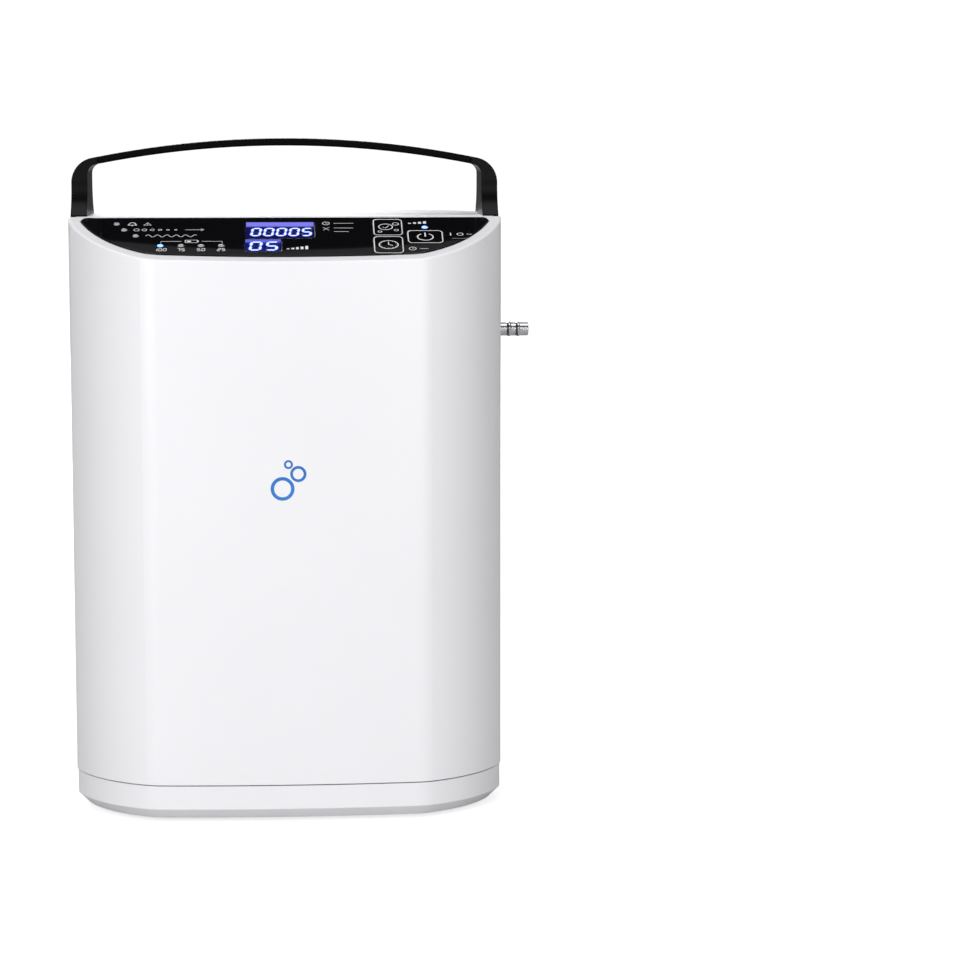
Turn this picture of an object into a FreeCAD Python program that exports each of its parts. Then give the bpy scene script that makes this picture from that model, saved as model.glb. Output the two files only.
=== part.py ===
"""Portable oxygen concentrator: a parametric FreeCAD document, in millimetres.

Frame: +Z up, the front (sloped control panel) faces -Y, the oxygen outlet is on the +X side.
The origin is in the plane of the rubber feet, under the middle of the body.
"""
import FreeCAD, Part
import math
import os
import re
import Sketcher
from FreeCAD import Placement, Rotation, Vector

os.makedirs("parts", exist_ok=True)

DOC = FreeCAD.newDocument("oxygen_concentrator")

# ---------------------------------------------------------------- driving dimensions
SIZES = {
    # body
    "body_width": 190, "body_depth": 136, "body_bottom": 2, "base_top": 16.9,
    "housing_bottom": 17.4, "body_top": 263, "wall": 2.5,
    "front_angle": 4.6, "blend_angle": 24, "shoulder_angle": 68,
    "blend_radius": 20, "corner_radius": 60, "edge_round": 1.0,
    # side recess, side panels and handle
    "recess_inset": 1.05, "panel_thick": 2.5, "strip_width": 50, "strip_bottom": 19.6,
    "post_thick": 7.05, "crown_height": 33.9, "arch_radius": 430, "arch_thick": 3.2,
    "corner_outer": 11, "corner_inner": 4.5, "grip_half": 82.5, "grip_gap": 0.5, "tongue_half": 12,
    # vents
    "slot_width": 3.3, "slot_pitch": 5.42, "slot_gap": 2.35,
    "vent_top": 151.2, "vent_mid": 101.2, "vent_low": 64.1, "vent_tall": 40.7, "vent_short": 27.9,
    "window_half": 16.2, "window_a_low": 70, "window_a_high": 139.4,
    "window_b_low": 33, "window_b_high": 62.4,
    # control panel on the slope
    "slope_start": 24.5, "slope_deg": 22.6, "rim": 4.6, "overlay_top": 26.8,
    "overlay_thick": 1.5, "overlay_proud": 0.5, "fit_gap": 0.15, "key_gap": 0.25,
    "board_depth": 7.4, "board_thick": 1.6, "key_proud": 0.35, "lens_radius": 1.3,
    # ports
    "outlet_height": 211, "jack_height": 193.4, "hex_flats": 11.5, "nipple_radius": 3,
    "barb_radius": 3.3, "nipple_bore": 1.8, "thread_radius": 4, "jack_radius": 6.7,
    "jack_thread": 5.4, "jack_mouth": 3.7, "jack_pin_radius": 1.05,
    # feet and base screws
    "foot_radius": 8, "foot_x": 44, "foot_y": 39, "boss_x": 70, "boss_y": 41, "boss_radius": 5,
    "screw_radius": 1.7, "screw_head": 3.3,
    # battery
    "cell_radius": 9.2, "cell_length": 65, "cell_pitch": 19.4, "cell_row": 15.2,
    # decks and compressor
    "deck_low": 50, "deck_high": 138, "deck_thick": 2, "spacer_x": 56, "spacer_y": 47,
    "crank_height": 85, "crank_y": -4, "case_half": 20, "cylinder_radius": 16, "cylinder_bore": 14,
    "head_start": 42, "head_thick": 12, "shaft_radius": 3, "throw": 2.5, "eccentric_radius": 6,
    "motor_radius": 23, "motor_front": 14, "motor_length": 38,
    # cooling fans
    "fan_size": 60, "fan_thick": 15, "fan_inner_x": 68, "fan_height": 105, "fan_bore": 28.5,
    "fan_hub": 12, "blade_tip": 27.3, "filter_x": -62, "filter_y": -26,
    # sieve columns, tank and valves
    "sieve_radius": 20, "sieve_wall": 1.8, "sieve_low": 146, "sieve_high": 222, "cap_radius": 22,
    "sieve_y": 18, "tank_radius": 17, "tank_x": 44, "tank_y": 18, "tank_high": 226,
    "manifold_y": -20, "coil_radius": 8, "plunger_radius": 3, "plunger_bore": 3.2,
}
SHEET = DOC.addObject("Spreadsheet::Sheet", "Dims")
for row, (alias, value) in enumerate(SIZES.items(), start=1):
    SHEET.set(f"A{row}", str(value))
    SHEET.setAlias(f"A{row}", alias)
DOC.recompute()

PARTS = []            # the finished sub-parts, in the order they are made
X_AXIS, Y_AXIS, Z_AXIS = Vector(1, 0, 0), Vector(0, 1, 0), Vector(0, 0, 1)
ALONG = {"x": Rotation(Y_AXIS, 90), "y": Rotation(X_AXIS, -90), "z": Rotation()}


def size(alias):
    """A driving dimension, as the sheet holds it."""
    return float(SHEET.get(alias))


def formula(text):
    """An expression on the sheet: every alias in the text gets the sheet's name."""
    return re.sub(r"[a-z_]+", lambda m: "Dims." + m.group() if m.group() in SIZES else m.group(), str(text))


def bind(item, **sizes):
    """Binds properties of an object to expressions on the sheet."""
    for name, text in sizes.items():
        item.setExpression(name, formula(text))
    return item


def at(item, x=0, y=0, z=0, rotation=None):
    """Places an object: its base point bound to the sheet, and its rotation fixed."""
    if rotation is not None:
        item.Placement = Placement(Vector(), rotation)
    for axis, text in zip("xyz", (x, y, z)):
        item.setExpression(f"Placement.Base.{axis}", formula(text))
    return item


def box(name, low, lengths):
    """A box from its lowest corner and its three lengths, all expressions."""
    item = DOC.addObject("Part::Box", name)
    bind(item, Length=lengths[0], Width=lengths[1], Height=lengths[2])
    return at(item, *low)


def rod(name, radius, length, base, along="z"):
    """A cylinder from the centre of its first end, along an axis."""
    item = DOC.addObject("Part::Cylinder", name)
    bind(item, Radius=radius, Height=length)
    return at(item, *base, rotation=ALONG[along])


def hexagon(name, flats, length, base):
    """A hexagonal bar along X, with flats above and below."""
    item = DOC.addObject("Part::Prism", name)
    item.Polygon = 6
    bind(item, Circumradius=f"({flats}) / sqrt(3)", Height=length)
    return at(item, *base, rotation=Rotation(Z_AXIS, Y_AXIS, X_AXIS, "ZXY"))


def cut(name, base, *tools):
    """The base less the tools."""
    item = DOC.addObject("Part::Cut", name)
    item.Base = base
    item.Tool = tools[0] if len(tools) == 1 else fuse(name + "_tools", *tools)
    return item


def fuse(name, *items):
    """One solid out of several."""
    item = DOC.addObject("Part::MultiFuse", name)
    item.Shapes = list(items)
    return item


def common(name, *items):
    """What several shapes share."""
    item = DOC.addObject("Part::MultiCommon", name)
    item.Shapes = list(items)
    return item


def group(name, items):
    """Separate solids in one sub-part."""
    item = DOC.addObject("Part::Compound", name)
    item.Links = list(items)
    return item


def feature(name, shape):
    """A shape made with Part's own functions from the sheet's sizes."""
    item = DOC.addObject("Part::Feature", name)
    item.Shape = shape
    return item


def extrude(name, base, direction, length, start=(0, 0, 0)):
    """A face pushed along a direction by a bound length."""
    item = DOC.addObject("Part::Extrusion", name)
    item.Base = base
    item.DirMode = "Custom"
    item.Dir = direction
    item.Solid = True
    bind(item, LengthFwd=length)
    return at(item, *start)


def mirrored(name, source):
    """The source mirrored across the plane X = 0."""
    item = DOC.addObject("Part::Mirroring", name)
    item.Source = source
    item.Normal = X_AXIS
    return item


def part(item, label):
    """Marks an object as a finished sub-part, named by its label."""
    item.Label = label
    PARTS.append(item)
    return item


def corners(x, y):
    """The four sign pairs of a rectangle's corners, as expressions."""
    return [(sx + x, sy + y) for sx in ("", "-") for sy in ("", "-")]


def polygon_body(name, plane, points):
    """A PartDesign body with one closed straight-sided sketch, every corner bound to the sheet.

    The sketch starts as a small ring of segments, which its constraints then pull into place.
    """
    body = DOC.addObject("PartDesign::Body", name)
    sketch = body.newObject("Sketcher::SketchObject", name + "_sketch")
    origin_plane = next(f for f in body.Origin.OriginFeatures if f.Role == plane + "_Plane")
    sketch.AttachmentSupport = [(origin_plane, "")]
    sketch.MapMode = "FlatFace"
    count = len(points)
    turns = [2 * math.pi * k / count for k in range(count)]
    ring = [Vector(20 + 10 * math.cos(a), 10 * math.sin(a), 0) for a in turns]
    for k in range(count):
        sketch.addGeometry(Part.LineSegment(ring[k], ring[(k + 1) % count]))
    for k in range(count):
        sketch.addConstraint(Sketcher.Constraint("Coincident", k, 2, (k + 1) % count, 1))
    for k, point in enumerate(points):
        for kind, text, start in zip(("DistanceX", "DistanceY"), point, (ring[k].x, ring[k].y)):
            index = sketch.addConstraint(Sketcher.Constraint(kind, -1, 1, k, 1, start))
            sketch.setExpression(f"Constraints[{index}]", formula(text))
    return body, sketch


def turned(name, points):
    """A body of revolution about its own Z axis. Points are (radius, height)."""
    body, sketch = polygon_body(name, "XZ", points)
    item = body.newObject("PartDesign::Revolution", name + "_turn")
    item.Profile = sketch
    item.ReferenceAxis = (sketch, ["V_Axis"])
    item.Angle = 360
    body.Tip = item
    return body


def padded(name, points, length):
    """A straight-sided plate padded up from its own XY plane."""
    body, sketch = polygon_body(name, "XY", points)
    item = body.newObject("PartDesign::Pad", name + "_pad")
    item.Profile = sketch
    bind(item, Length=length)
    body.Tip = item
    return body


def on_slope(item, across=0, up=0, out=0):
    """Places an object on the sloped face: across (+X), up the slope, and out of its surface."""
    item.Placement = Placement(Vector(), Rotation(X_AXIS, size("slope_deg")))
    item.setExpression("Placement.Base.x", formula(across))
    item.setExpression("Placement.Base.y", formula(
        f"-slope_start + ({up}) * cos(slope_deg * 1 deg) - ({out}) * sin(slope_deg * 1 deg)"))
    item.setExpression("Placement.Base.z", formula(
        f"body_top + ({up}) * sin(slope_deg * 1 deg) + ({out}) * cos(slope_deg * 1 deg)"))
    return item


def slope_box(name, low, lengths):
    """A box standing square on the sloped face, from its lowest corner."""
    item = DOC.addObject("Part::Box", name)
    bind(item, Length=lengths[0], Width=lengths[1], Height=lengths[2])
    return on_slope(item, *low)


def slope_rod(name, radius, length, start):
    """A cylinder square to the sloped face."""
    item = DOC.addObject("Part::Cylinder", name)
    bind(item, Radius=radius, Height=length)
    return on_slope(item, *start)


def softened(name, base, kind, amount, wanted):
    """Fillets or chamfers every edge of the base for which wanted(edge) is true."""
    DOC.recompute()
    item = DOC.addObject("Part::" + kind, name)
    item.Base = base
    item.Edges = [(k, amount, amount) for k, edge in enumerate(base.Shape.Edges, start=1) if wanted(edge)]
    return item


def upright_edge(edge):
    """True for a straight edge along Z."""
    a, b = edge.Vertexes[0].Point, edge.Vertexes[-1].Point
    return len(edge.Vertexes) == 2 and abs(a.x - b.x) < 0.001 and abs(a.y - b.y) < 0.001


def tube_along(name, start, direction, moves, outer, bore):
    """A hose of straight runs joined by tangent arcs, swept as one wire.

    Each move is (straight length, new direction, bend radius); the last has no bend.
    """
    point = Vector(*start)
    heading = Vector(*direction)
    edges = []
    for length, turn_to, bend in moves:
        ahead = point + heading * length
        edges.append(Part.makeLine(point, ahead))
        point = ahead
        if turn_to is None:
            break
        turn = Vector(*turn_to)
        middle = point + heading * bend * math.sin(math.pi / 4) + turn * bend * (1 - math.cos(math.pi / 4))
        end = point + (heading + turn) * bend
        edges.append(Part.Arc(point, middle, end).toShape())
        point = end
        heading = turn
    path = Part.Wire(edges)
    skins = []
    for radius in (outer, bore):
        ring = Part.Wire(Part.makeCircle(radius, Vector(*start), Vector(*direction)))
        skins.append(path.makePipeShell([ring], True, True))
    return feature(name, skins[0].cut(skins[1]))


# ---------------------------------------------------------------- outline of the body
def outline_face():
    """The plan outline: gently curved front and back, flat sides, and blended corners."""
    half_width, half_depth = size("body_width") / 2, size("body_depth") / 2
    angles = [math.radians(size(a)) for a in ("front_angle", "blend_angle", "shoulder_angle")]
    blend, corner = size("blend_radius"), size("corner_radius")
    steps = [(blend, angles[0], angles[1]), (corner, angles[1], angles[2]), (blend, angles[2], math.pi / 2)]
    reach = sum(r * (math.sin(b) - math.sin(a)) for r, a, b in steps)
    front_radius = (half_width - reach) / math.sin(angles[0])
    point = Vector(0, -half_depth, 0)
    quarter = []
    for r, a, b in [(front_radius, 0, angles[0])] + steps:
        centre = point - Vector(math.sin(a), -math.cos(a), 0) * r
        middle = centre + Vector(math.sin((a + b) / 2), -math.cos((a + b) / 2), 0) * r
        end = centre + Vector(math.sin(b), -math.cos(b), 0) * r
        quarter.append(Part.Arc(point, middle, end).toShape())
        point = end
    flat = Part.makeLine(point, Vector(point.x, 0, 0))
    half = quarter + [flat]
    other = [e.mirror(Vector(), Y_AXIS) for e in half]
    right = half + other
    left = [e.mirror(Vector(), X_AXIS) for e in right]
    wire = Part.Wire(Part.__sortEdges__(right + left))
    return Part.Face(wire)


OUTLINE = feature("Outline", outline_face())


def slab(name, inset, low, high):
    """The plan outline, inset, between two heights."""
    base = OUTLINE
    if inset != 0:
        base = DOC.addObject("Part::Offset2D", name + "_inset")
        base.Source = OUTLINE
        bind(base, Value=f"-({inset})")
    return extrude(name, base, Z_AXIS, f"{high} - ({low})", (0, 0, low))


# ---------------------------------------------------------------- handle and side panels
PANEL_X = "body_width / 2 - recess_inset"
FLOOR_X = "body_width / 2 - recess_inset - panel_thick"
PAD_X = "body_width / 2 - recess_inset - panel_thick - 2"
panel_x = size("body_width") / 2 - size("recess_inset")
post_inner = panel_x - size("post_thick")
arch_z = size("body_top") + size("crown_height") - size("arch_radius")


def arch_point(x, radius):
    """A point on the handle's arch, in the XZ plane."""
    return Vector(x, 0, arch_z + math.sqrt(radius ** 2 - x ** 2))


def arch_corner(x_face, corner, radius):
    """Where an arch of this radius rounds into the upright face at x_face: start, middle and end."""
    centre_x = x_face - corner
    centre = Vector(centre_x, 0, arch_z + math.sqrt((radius - corner) ** 2 - centre_x ** 2))
    outward = (centre - Vector(0, 0, arch_z)).normalize()
    between = (outward + X_AXIS).normalize()
    return centre + X_AXIS * corner, centre + between * corner, centre + outward * corner


def side_profile():
    """The panel's section across the body: strip, post and its share of the arch."""
    radius, thick, top = size("arch_radius"), size("arch_thick"), size("body_top")
    floor_x, low, end = panel_x - size("panel_thick"), size("strip_bottom"), size("grip_half")
    o = arch_corner(panel_x, size("corner_outer"), radius)
    i = arch_corner(post_inner, size("corner_inner"), radius - thick)
    outer_end, inner_end = arch_point(end, radius), arch_point(end, radius - thick)
    outer_mid = arch_point((end + o[2].x) / 2, radius)
    edges = [
        Part.makeLine(Vector(floor_x, 0, low), Vector(panel_x, 0, low)),
        Part.makeLine(Vector(panel_x, 0, low), o[0]),
        Part.Arc(*o).toShape(),
        Part.Arc(o[2], outer_mid, outer_end).toShape(),
        Part.makeLine(outer_end, inner_end),
        Part.makeLine(inner_end, i[2]),
        Part.Arc(i[2], i[1], i[0]).toShape(),
        Part.makeLine(i[0], Vector(post_inner, 0, top)),
        Part.makeLine(Vector(post_inner, 0, top), Vector(floor_x, 0, top)),
        Part.makeLine(Vector(floor_x, 0, top), Vector(floor_x, 0, low)),
    ]
    return Part.Face(Part.Wire(edges))


def flare_profile():
    """The panel's outline from the side: the strip, then the post flaring down into it."""
    half, low, top = size("strip_width") / 2, size("strip_bottom"), size("body_top")
    right = [
        Vector(0, half, low),
        Vector(0, half, top),
        Vector(0, half, top + 0.5),
        Vector(0, 21.9, top + 3.4),
    ]
    knee, neck, tip = Vector(0, 19.0, top + 6.9), Vector(0, 17.15, top + 15.2), Vector(0, 15.6, top + 36)
    left = [Vector(0, -p.y, p.z) for p in right]
    edges = [Part.makeLine(a, b) for a, b in zip(right, right[1:])]
    edges.append(Part.Arc(right[-1], knee, neck).toShape())
    edges.append(Part.makeLine(neck, tip))
    edges.append(Part.makeLine(tip, Vector(0, -tip.y, tip.z)))
    edges.append(Part.makeLine(Vector(0, -tip.y, tip.z), Vector(0, -neck.y, neck.z)))
    edges.append(Part.Arc(Vector(0, -neck.y, neck.z), Vector(0, -knee.y, knee.z), left[-1]).toShape())
    edges.extend(Part.makeLine(a, b) for a, b in zip(left[::-1], left[-2::-1]))
    edges.append(Part.makeLine(left[0], right[0]))
    return Part.Face(Part.Wire(edges))


def ring_slice(inner, outer, end):
    """A slice of the arch between two radii, out to x = end each side."""
    a, b = arch_point(-end, outer), arch_point(end, outer)
    c, d = arch_point(end, inner), arch_point(-end, inner)
    edges = [Part.Arc(a, arch_point(0, outer), b).toShape(), Part.makeLine(b, c),
             Part.Arc(c, arch_point(0, inner), d).toShape(), Part.makeLine(d, a)]
    return Part.Face(Part.Wire(edges))


def slot_faces():
    """The vent slots of one side as faces in the YZ plane: three groups of eight columns."""
    half, pitch, gap = size("slot_width") / 2, size("slot_pitch"), size("slot_gap")
    groups = [(size("vent_top"), size("vent_tall")), (size("vent_mid"), size("vent_short")),
              (size("vent_low"), size("vent_tall"))]
    faces = []
    for top, tall in groups:
        for column in range(8):
            parts = 2 if column % 4 in (0, 2) and column < 4 or column in (5, 7) else 3
            ends = (tall - 2 * gap) / (3.25 if tall < 30 else 4.2) / (1.3 if tall < 30 else 1)
            lengths = [(tall - gap) / 2] * 2 if parts == 2 else [ends, tall - 2 * gap - 2 * ends, ends]
            high, y = top, (column - 3.5) * pitch
            for length in lengths:
                low = high - length
                a, b = Vector(0, y - half, low + half), Vector(0, y - half, high - half)
                c, d = Vector(0, y + half, high - half), Vector(0, y + half, low + half)
                crown, foot = Vector(0, y, high), Vector(0, y, low)
                wire = Part.Wire([Part.makeLine(a, b), Part.Arc(b, crown, c).toShape(),
                                  Part.makeLine(c, d), Part.Arc(d, foot, a).toShape()])
                faces.append(Part.Face(wire))
                high = low - gap
    return Part.makeCompound(faces)


section = extrude("Panel_section", feature("Panel_profile", side_profile()), Y_AXIS, "80", (0, -40, 0))
flare_face = feature("Flare_profile", flare_profile())
flare = extrude("Flare", flare_face, X_AXIS, "110")
wide_flare = extrude("Wide_flare", flare_face, X_AXIS, "220", (-110, 0, 0))
slots_face = feature("Vent_slots", slot_faces())
slots = extrude("Vent_cutters", slots_face, X_AXIS, "12", ("body_width / 2 - 6", 0, 0))
arch_inner, arch_outer = size("arch_radius") - size("arch_thick"), size("arch_radius")
slot_slice = feature("Slot_slice", ring_slice(arch_inner + 0.8, arch_outer - 0.8, 86.2))
slot_ring = extrude("Tongue_slot", slot_slice, Y_AXIS, "2 * tongue_half + 0.6", (0, "-tongue_half - 0.3", 0))
outlet_hole = rod("Outlet_hole", "thread_radius + 0.3", "30", (80, 0, "outlet_height"), "x")
jack_hole = rod("Jack_hole", "jack_thread + 0.3", "30", (80, 0, "jack_height"), "x")
panel_body = common("Panel_body", section, flare)
right_panel = cut("Right_panel", panel_body, slots, slot_ring, outlet_hole, jack_hole)
part(right_panel, "right_side_panel")
plain_panel = cut("Plain_panel", panel_body, slots, slot_ring)
part(mirrored("Left_panel", plain_panel), "left_side_panel")

grip_slice = feature("Grip_slice", ring_slice(arch_inner, arch_outer, size("grip_half") - 0.5))
grip_arch = extrude("Grip_arch", grip_slice, Y_AXIS, "80", (0, -40, 0))
tongue_slice = feature("Tongue_slice", ring_slice(arch_inner + 1.1, arch_outer - 1.1, 86.2))
tongue = extrude("Grip_tongue", tongue_slice, Y_AXIS, "2 * tongue_half", (0, "-tongue_half", 0))
grip_shell = common("Grip_shell", grip_arch, wide_flare)
grip_long = softened("Grip_soft", grip_shell, "Fillet", 0.9, lambda edge: edge.Length > 100)
part(fuse("Grip", grip_long, tongue), "handle_grip")

# ---------------------------------------------------------------- openings in the sloped face
KEYS = {   # left edge, lowest edge up the slope, width, height
    "grade_key": (38.1, -21.75, 12.9, 16.8),
    "timer_key": (37.9, -39.95, 12.9, 17.15),
    "power_key": (52.8, -29.8, 15.5, 13.1),
}
LENSES = [(-17.5, -24.25, 30, 16.8), (-17.7, -37.8, 15.9, 12.7)]
LAMPS = [(-73.4, -9.2), (-69.9, -15.4), (-64.7, -21.6), (-53.8, -31.6), (-45, -31.6), (-36.4, -31.6),
         (-27.7, -31.6), (60.7, -13.3)]


def slope_block(name, window, grow, low, high):
    """A block through the sloped face over one window, grown all round, with rounded upright corners."""
    x, v, wide, tall = window
    block = slope_box(name, (f"{x} - ({grow})", f"{v} - ({grow})", low),
                      (f"{wide} + 2 * ({grow})", f"{tall} + 2 * ({grow})", f"{high} - ({low})"))
    normal = Rotation(X_AXIS, size("slope_deg")).multVec(Z_AXIS)

    def square_to_face(edge):
        a, b = edge.Vertexes[0].Point, edge.Vertexes[-1].Point
        return abs((b - a).normalize().dot(normal)) > 0.999

    return softened(name + "_round", block, "Fillet", 1.6, square_to_face)


def face_openings(tag, low, key_grow, lens_grow, lamp_grow):
    """Cutters through the overlay or the housing for the keys, the lenses and the lamps."""
    tools = []
    for name, window in KEYS.items():
        tools.append(slope_block(f"{name}_{tag}", window, key_grow, low, 3))
    for k, window in enumerate(LENSES):
        tools.append(slope_block(f"Lens{k}_{tag}", window, lens_grow, low, 3))
    for k, (x, v) in enumerate(LAMPS):
        tools.append(slope_rod(f"Lamp{k}_{tag}", f"lens_radius + {lamp_grow}", f"3 - ({low})", (x, v, low)))
    return tools


def front_plate(tag, inset, gap, low, high):
    """The overlay's outline on the sloped face, between two heights above it."""
    prism = slab(f"Plate_prism_{tag}", inset, 230, 275)
    front = box(f"Plate_front_{tag}", (-100, -80, 230), (200, f"80 - overlay_top + {gap}", 45))
    flat = common(f"Plate_flat_{tag}", prism, front)
    rounded = softened(f"Plate_round_{tag}", flat, "Fillet", 2.8,
                       lambda e: upright_edge(e) and abs(e.Vertexes[0].Y + size("overlay_top") - gap) < 0.01)
    layer = slope_box(f"Plate_layer_{tag}", (-110, -80, low), (220, 90, f"{high} - ({low})"))
    return common(f"Plate_{tag}", rounded, layer)


overlay_blank = front_plate("overlay", "rim", 0, "overlay_proud - overlay_thick", "overlay_proud")
face_normal = Rotation(X_AXIS, size("slope_deg")).multVec(Z_AXIS)
face_origin = Vector(0, -size("slope_start"), size("body_top"))


def on_overlay_top(edge):
    """True for an edge lying in the overlay's outer surface."""
    points = [edge.valueAt(p) for p in edge.ParameterRange]
    return all(abs((p - face_origin).dot(face_normal) - size("overlay_proud")) < 0.01 for p in points)


overlay_edged = softened("Overlay_edged", overlay_blank, "Chamfer", 0.4, on_overlay_top)
overlay_tools = face_openings("overlay", -3, "key_gap", "fit_gap", 0.2)
part(cut("Overlay", overlay_edged, *overlay_tools), "control_panel")

# ---------------------------------------------------------------- housing
outer = slab("Outer", 0, "housing_bottom", "body_top")
outer_wedge = slope_box("Outer_wedge", (-110, -90, 0), (220, 90, 60))
outer_sloped = cut("Outer_sloped", outer, outer_wedge)


def crown_edge(edge):
    """True for an edge round the top face or the sloped face."""
    points = [edge.valueAt(p) for p in edge.ParameterRange]
    flat = all(abs(p.z - size("body_top")) < 0.01 for p in points)
    sloped = all(abs((p - face_origin).dot(face_normal)) < 0.01 for p in points)
    return flat or sloped


outer_soft = softened("Outer_soft", outer_sloped, "Fillet", size("edge_round"), crown_edge)
cavity = slab("Cavity", "wall", "housing_bottom - 1", "body_top - wall")
cavity_wedge = slope_box("Cavity_wedge", (-110, -90, "-wall"), (220, 90, 60))
cavity_sloped = cut("Cavity_sloped", cavity, cavity_wedge)
shell = cut("Shell", outer_soft, cavity_sloped)
pad_size = (3.5, "strip_width + 4", "body_top - wall - housing_bottom")
pads = [box(f"Side_pad{k}", (x, "-strip_width / 2 - 2", "housing_bottom"), pad_size)
        for k, x in enumerate((PAD_X, f"-({PAD_X}) - 3.5"))]
bosses, boss_bores = [], []
for k, (x, y) in enumerate(corners("boss_x", "boss_y")):
    bosses.append(rod(f"Boss{k}", "boss_radius", 24, (x, y, 21)))
    rib_x = x if not x.startswith("-") else f"{x} - 16.5"
    bosses.append(box(f"Rib{k}", (rib_x, f"{y} - 1", 21), (16.5, 2, 24)))
    boss_bores.append(rod(f"Boss_bore{k}", "screw_radius - 0.2", 14, (x, y, 20)))
fused_shell = fuse("Housing_shell", shell, *pads, *bosses)
recess_size = (6, "strip_width + 0.2", 260)
recesses = [box(f"Recess{k}", (x, "-strip_width / 2 - 0.1", "strip_bottom - 0.1"), recess_size)
            for k, x in enumerate((FLOOR_X, f"-({FLOOR_X}) - 6"))]
windows = []
for side, x in enumerate(("80", "-100")):
    for tag in ("a", "b"):
        windows.append(box(f"Window_{tag}{side}", (x, "-window_half", f"window_{tag}_low"),
                           (20, "2 * window_half", f"window_{tag}_high - window_{tag}_low")))
overlay_recess = front_plate("recess", "rim - fit_gap", size("fit_gap"), "overlay_proud - overlay_thick", "5")
housing_tools = face_openings("housing", -4, 0.25, -1.2, 0.2)
part(cut("Housing", fused_shell, *recesses, *windows, *boss_bores, overlay_recess, *housing_tools,
         outlet_hole, jack_hole), "housing")

# ---------------------------------------------------------------- base, gasket, feet and base screws
tray_block = slab("Tray_block", 0.5, "body_bottom", "base_top")


def tray_foot_edge(edge):
    """True for an edge round the tray's underside."""
    return all(abs(v.Z - size("body_bottom")) < 0.01 for v in edge.Vertexes)


tray_outer = softened("Tray_outer", tray_block, "Chamfer", 4.6, tray_foot_edge)
tray_room = slab("Tray_room", 7.6, "body_bottom + 2.5", "body_top")
tray_wide_room = slab("Tray_wide_room", 3, 9, "body_top")
lip_outer = slab("Lip_outer", "wall + 0.35", "base_top - 2", "base_top + 4")
lip_inner = slab("Lip_inner", "wall + 2.1", "base_top - 3", "base_top + 5")
lip = cut("Lip", lip_outer, lip_inner)
tray_shell = cut("Tray_shell", tray_outer, tray_room, tray_wide_room)
tray_bosses, tray_bores, feet, screws = [], [], [], []
for k, (x, y) in enumerate(corners("boss_x", "boss_y")):
    tray_bosses.append(rod(f"Tray_boss{k}", "boss_radius", 18, (x, y, 3)))
    tray_bores.append(rod(f"Tray_bore{k}", "screw_radius + 0.3", 30, (x, y, 0)))
    tray_bores.append(rod(f"Tray_sink{k}", "screw_head + 0.3", 4, (x, y, 1)))
    head = rod(f"Base_screw_head{k}", "screw_head", 2, (x, y, 3))
    shank = rod(f"Base_screw_shank{k}", "screw_radius - 0.3", 25, (x, y, 5))
    drive = hexagon(f"Base_screw_drive{k}", 2.4, 3, (0, 0, 0))
    at(drive, x, y, 2, rotation=Rotation())
    drive.setExpression("Height", "2.2")
    screws.append(cut(f"Base_screw{k}", fuse(f"Base_screw_body{k}", head, shank), drive))
FOOT_PAD = [("0", "0"), ("foot_radius - 1", "0"), ("foot_radius", "0.7"), ("foot_radius", "2")]
FOOT_STUD = [("2", "2"), ("2", "4.5"), ("3", "4.5"), ("1.6", "6.2"), ("0", "6.2")]
for k, (x, y) in enumerate(corners("foot_x", "foot_y")):
    tray_bores.append(rod(f"Foot_hole{k}", "2.3", 4, (x, y, 1)))
    foot = turned(f"Foot{k}", FOOT_PAD + FOOT_STUD)
    feet.append(at(foot, x, y, 0))
tray_lip = fuse("Tray_with_lip", tray_shell, lip, *tray_bosses)
lip_gaps = [box(f"Lip_gap{k}", (x, "-strip_width / 2 - 3", "base_top"), (10, "strip_width + 6", 8))
            for k, x in enumerate(("85", "-95"))]
part(cut("Tray", tray_lip, *tray_bores, *lip_gaps), "base_tray")
part(cut("Gasket", slab("Gasket_outer", 1.2, "base_top", "housing_bottom"),
         slab("Gasket_inner", "wall", "base_top - 1", "housing_bottom + 1")), "base_gasket")
feet.append(turned("Middle_foot", FOOT_PAD + [("0", "2")]))
part(group("Feet", feet), "rubber_feet")
part(group("Base_screws", screws), "base_screws")

# ---------------------------------------------------------------- keys, lenses, lamps and display board
for name, (x, v, wide, tall) in KEYS.items():
    cap = slope_block(f"{name}_cap", (x, v, wide, tall), 0, -2.5, size("overlay_proud") + 0.1)
    flange = slope_box(f"{name}_flange", (x - 0.7, v - 0.45, -3.4), (wide + 1.4, tall + 0.9, 0.9))
    stem = slope_rod(f"{name}_stem", 1.5, 2.2, (x + wide / 2, v + tall / 2, -5.4))
    part(fuse(f"{name}_solid", cap, flange, stem), name)
lenses, modules = [], []
for k, (x, v, wide, tall) in enumerate(LENSES):
    outline, inner = (x, v, wide, tall), (x + 1.5, v + 1.5, wide - 3, tall - 3)
    lenses.append(slope_block(f"Lens{k}", outline, 0, "overlay_proud - overlay_thick", "overlay_proud"))
    modules.append(slope_block(f"Module{k}", inner, 0, "-board_depth", -2.6))
part(group("Lenses", lenses), "display_lenses")
part(group("Modules", modules), "display_modules")
lamps = []
for k, (x, v) in enumerate(LAMPS):
    pipe = slope_rod(f"Lamp{k}", "lens_radius", "board_depth + overlay_proud", (x, v, "-board_depth"))
    collar = slope_rod(f"Lamp_collar{k}", "lens_radius + 0.6", "1.5", (x, v, "-board_depth"))
    lamps.append(fuse(f"Lamp_solid{k}", pipe, collar))
part(group("Lamps", lamps), "indicator_leds")
switches = []
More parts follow.
